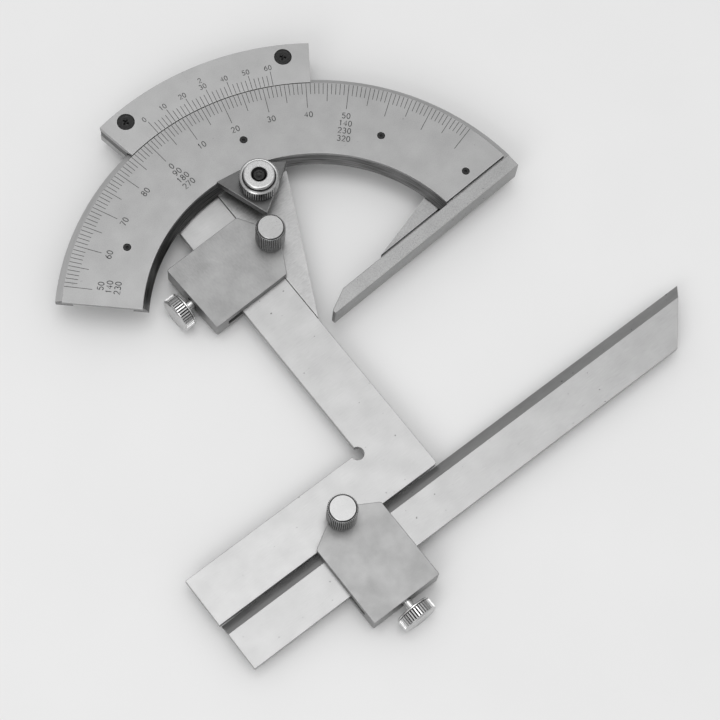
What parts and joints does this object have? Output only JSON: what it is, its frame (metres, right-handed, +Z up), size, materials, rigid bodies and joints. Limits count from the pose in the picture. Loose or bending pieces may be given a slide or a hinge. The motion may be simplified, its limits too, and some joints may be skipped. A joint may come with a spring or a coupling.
{
  "type": "universal bevel protractor",
  "caption": "Universal bevel protractor: graduated arc with base rule, geared swinging sector with vernier and brake, and clamps that carry a square and a straight rule.",
  "frame": {"origin": "middle of the tool's footprint, on the surface that it lies on", "axes": "+X along the base rule from its tip to its outer end, +Z up out of the graduated face"},
  "size_m": [0.1582, 0.1614, 0.0191],
  "materials": {
    "satin_scale_steel": "satin, finely graduated",
    "machined_arc_steel": "turned, with marks running round the arc",
    "pitted_base_steel": "finely pitted satin",
    "ground_blade_steel": "surface ground",
    "ground_sector_steel": "surface ground",
    "clamp_steel": "mottled satin",
    "bright_turned_steel": "bright turned, knurled rims",
    "brake_plate_steel": "dark satin with bright edges",
    "blackened_steel": "blackened, slightly glossy",
    "plain_steel": "plain machined",
    "bush_brass": "turned"
  },
  "bodies": {
    "arc": {"arc_body": "machined_arc_steel", "scale_plate": "satin_scale_steel", "scale_pin_1": "blackened_steel", "scale_pin_2": "blackened_steel", "scale_pin_3": "blackened_steel", "scale_pin_4": "blackened_steel", "base_rule": "pitted_base_steel", "base_rule_screw_1": "blackened_steel", "base_rule_screw_2": "blackened_steel", "base_rule_screw_3": "blackened_steel", "rack_strip": "plain_steel", "rack_screw_1": "blackened_steel", "rack_screw_2": "blackened_steel"},
    "sector": {"sector_plate": "ground_sector_steel", "vernier_seat": "ground_sector_steel", "vernier_plate": "satin_scale_steel", "vernier_screw_1": "blackened_steel", "vernier_screw_2": "blackened_steel", "guide_key_1": "plain_steel", "guide_key_2": "plain_steel", "guide_key_screw_1": "blackened_steel", "guide_key_screw_2": "blackened_steel", "pinion_bush": "bush_brass", "brake_stud": "plain_steel", "brake_end_screw": "blackened_steel"},
    "fine_adjuster": {"pinion": "plain_steel", "fine_adjust_knob": "bright_turned_steel", "knob_screw": "blackened_steel"},
    "brake": {"brake_plate": "brake_plate_steel"},
    "brake_nut": {"brake_nut": "bright_turned_steel"},
    "clamp_1": {"clamp_block_1": "clamp_steel"},
    "top_screw_1": {"top_screw_1": "bright_turned_steel"},
    "pad_1": {"clamp_pad_1": "plain_steel"},
    "side_screw_1": {"side_screw_1": "bright_turned_steel"},
    "square": {"square": "ground_blade_steel"},
    "clamp_2": {"clamp_block_2": "clamp_steel"},
    "top_screw_2": {"top_screw_2": "bright_turned_steel"},
    "pad_2": {"clamp_pad_2": "plain_steel"},
    "side_screw_2": {"side_screw_2": "bright_turned_steel"},
    "straight_rule": {"straight_rule": "ground_blade_steel"}
  },
  "joints": [
    {"name": "sector_swing", "type": "hinge", "parent": "arc", "child": "sector", "pos_m": [-0.00345, -0.00187, 0.01166], "axis": [0, 0, -1], "range_deg": [-43.5, 46.5]},
    {"name": "fine_adjust_turn", "type": "hinge", "parent": "sector", "child": "fine_adjuster", "pos_m": [0.01917, 0.05413, 0.00366], "axis": [0, 0, -1], "range_deg": [-748.65, 700.35]},
    {"name": "brake_lift", "type": "slide", "parent": "sector", "child": "brake", "axis": [0, 0, 1], "range_m": [0, 0.0005]},
    {"name": "brake_nut_turn", "type": "hinge", "parent": "brake", "child": "brake_nut", "pos_m": [0.00862, 0.03832, 0.01326], "axis": [0, 0, 1], "range_deg": [0, 240]},
    {"name": "clamp_1_slide", "type": "slide", "parent": "sector", "child": "clamp_1", "axis": [0.061, 0.9981, 0], "range_m": [-0.01, 0.0008]},
    {"name": "top_screw_1_turn", "type": "hinge", "parent": "clamp_1", "child": "top_screw_1", "pos_m": [0.00148, 0.02524, 0.01166], "axis": [0, 0, 1], "range_deg": [0, 360]},
    {"name": "pad_1_slide", "type": "slide", "parent": "clamp_1", "child": "pad_1", "axis": [-0.9998, 0.0175, 0], "range_m": [0, 0.0012]},
    {"name": "side_screw_1_turn", "type": "hinge", "parent": "pad_1", "child": "side_screw_1", "pos_m": [-0.03051, 0.0258, 0.00506], "axis": [-0.9998, 0.0175, 0], "range_deg": [0, 617.14]},
    {"name": "square_slide", "type": "slide", "parent": "clamp_1", "child": "square", "axis": [0.061, 0.9981, 0], "range_m": [-0.02, 0.0015]},
    {"name": "clamp_2_slide", "type": "slide", "parent": "square", "child": "clamp_2", "axis": [0.9981, -0.061, 0], "range_m": [-0.028, 0.017]},
    {"name": "top_screw_2_turn", "type": "hinge", "parent": "clamp_2", "child": "top_screw_2", "pos_m": [-0.03605, -0.04661, 0.01166], "axis": [0, 0, 1], "range_deg": [0, 360]},
    {"name": "pad_2_slide", "type": "slide", "parent": "clamp_2", "child": "pad_2", "axis": [-0.061, -0.9981, 0], "range_m": [0, 0.0012]},
    {"name": "side_screw_2_turn", "type": "hinge", "parent": "pad_2", "child": "side_screw_2", "pos_m": [-0.038, -0.07855, 0.00506], "axis": [-0.061, -0.9981, 0], "range_deg": [0, 617.14]},
    {"name": "rule_slide", "type": "slide", "parent": "clamp_2", "child": "straight_rule", "axis": [0.9981, -0.061, 0], "range_m": [-0.045, 0.025]}
  ],
  "couplings": [
    {"joint": "fine_adjust_turn", "follows": "sector_swing", "ratio": -16.1},
    {"joint": "brake_nut_turn", "follows": "brake_lift", "rad_per_m": 8377.6},
    {"joint": "side_screw_1_turn", "follows": "pad_1_slide", "rad_per_m": 8976},
    {"joint": "side_screw_2_turn", "follows": "pad_2_slide", "rad_per_m": 8976}
  ]
}
